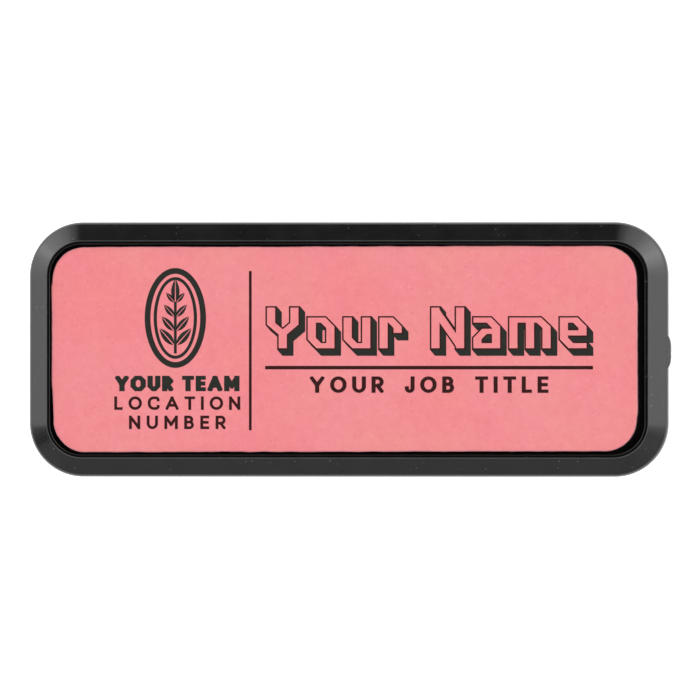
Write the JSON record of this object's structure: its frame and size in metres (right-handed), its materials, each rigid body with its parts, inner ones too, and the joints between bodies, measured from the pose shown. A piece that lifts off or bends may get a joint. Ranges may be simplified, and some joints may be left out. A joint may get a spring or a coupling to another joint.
{
  "type": "name badge",
  "caption": "Wide rounded name badge: a bevelled moulded frame around a printed plate, with a bar pin across the middle of its flat back.",
  "frame": {"origin": "on the surface that the badge lies on, under the middle of the frame and of the bar pin", "axes": "+X along the badge, to the right as its face is read; +Y towards its top edge; +Z out of its face"},
  "size_m": [0.0834, 0.033, 0.0091],
  "materials": {
    "black_plastic": "satin black injection moulding",
    "pink_plate": "matte printed plate, faintly mottled salmon pink",
    "nickel_steel": "nickel-plated pressed steel",
    "ink": "matte charcoal printing ink"
  },
  "bodies": {
    "root": {"frame": "black_plastic", "name_plate": "pink_plate", "bar_pin": "nickel_steel"}
  },
  "joints": []
}
